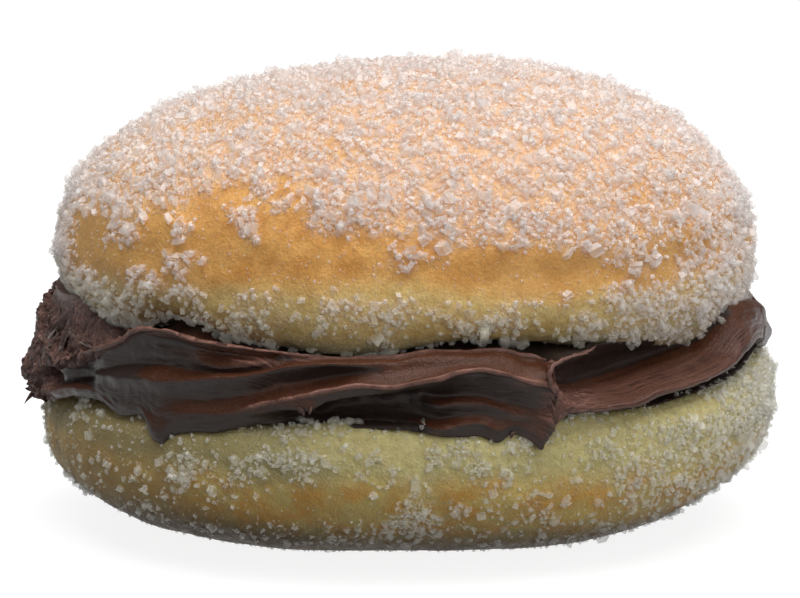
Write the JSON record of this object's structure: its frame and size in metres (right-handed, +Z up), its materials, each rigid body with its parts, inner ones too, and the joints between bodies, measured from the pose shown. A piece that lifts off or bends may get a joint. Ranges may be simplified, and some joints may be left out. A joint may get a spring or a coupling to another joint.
{
  "type": "chocolate cream filled doughnut",
  "caption": "Sugared round yeast doughnut without a hole, cut through at its waist and filled with a thick uneven layer of chocolate cream that shows all round.",
  "frame": {"origin": "on the surface that the doughnut stands on, under the middle of it", "axes": "+X to the right of the front, +Z up, -Y towards the front, where the cream's strokes show best"},
  "size_m": [0.0867, 0.0832, 0.0521],
  "materials": {
    "dough_lower": "fried dough, pale at the waist and golden brown towards the foot, dusted with sugar",
    "chocolate_cream": "satin dark chocolate spread with knife strokes",
    "dough_upper": "fried dough, golden on the dome and pale at the waist, under coarse sugar",
    "sugar": "coarse translucent sugar crystals"
  },
  "bodies": {
    "root": {"lower_half": "dough_lower", "cream": "chocolate_cream", "upper_half": "dough_upper"}
  },
  "joints": []
}
